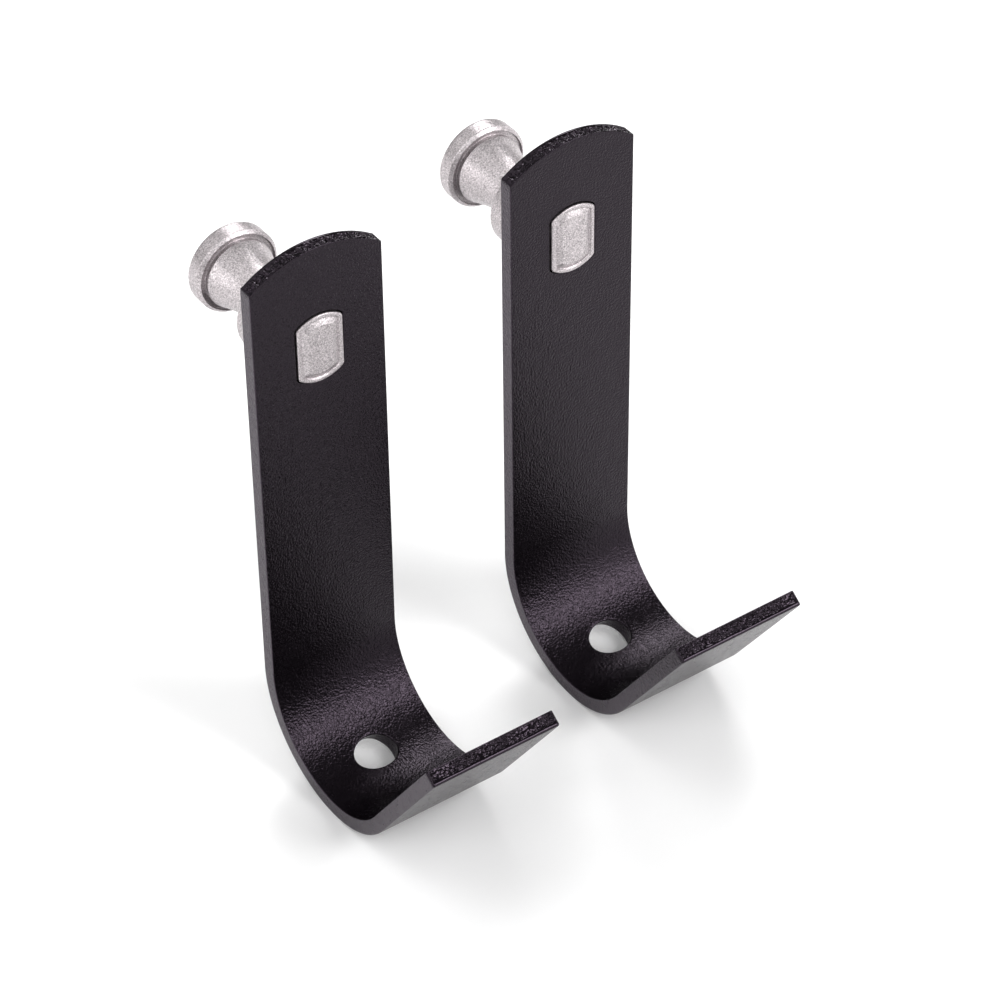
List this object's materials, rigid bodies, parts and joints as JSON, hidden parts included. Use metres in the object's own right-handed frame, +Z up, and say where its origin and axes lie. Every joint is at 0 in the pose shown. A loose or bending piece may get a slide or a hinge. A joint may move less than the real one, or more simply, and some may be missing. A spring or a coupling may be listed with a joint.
{
  "type": "roof bracket",
  "caption": "Matching J-shaped hang-on brackets: bent black steel straps with an upturned toe, a hole in the bend, and a waisted keyhole stud whose head hooks into a keyhole slot.",
  "frame": {"origin": "on the left stud's axis, in the plane of the collar face that seats on the host plate, at the root of the neck", "axes": "+X across the straps from the left bracket to the right one, +Y from the strap towards the stud's head, +Z up along the straight leg"},
  "size_m": [0.1504, 0.1539, 0.2094],
  "materials": {
    "strap_coat": "black powder coat, fine leathery texture, semi-gloss",
    "stud_metal": "bead-blasted pale grey metal, fine grain, satin"
  },
  "bodies": {
    "bracket_left": {"hook_strap_left": "strap_coat", "keyhole_stud_left": "stud_metal"},
    "bracket_right": {"hook_strap_right": "strap_coat", "keyhole_stud_right": "stud_metal"}
  },
  "joints": [
    {"name": "pair_spacing", "type": "slide", "parent": "bracket_left", "child": "bracket_right", "axis": [1, 0, 0], "range_m": [-0.047, 0.1]}
  ]
}
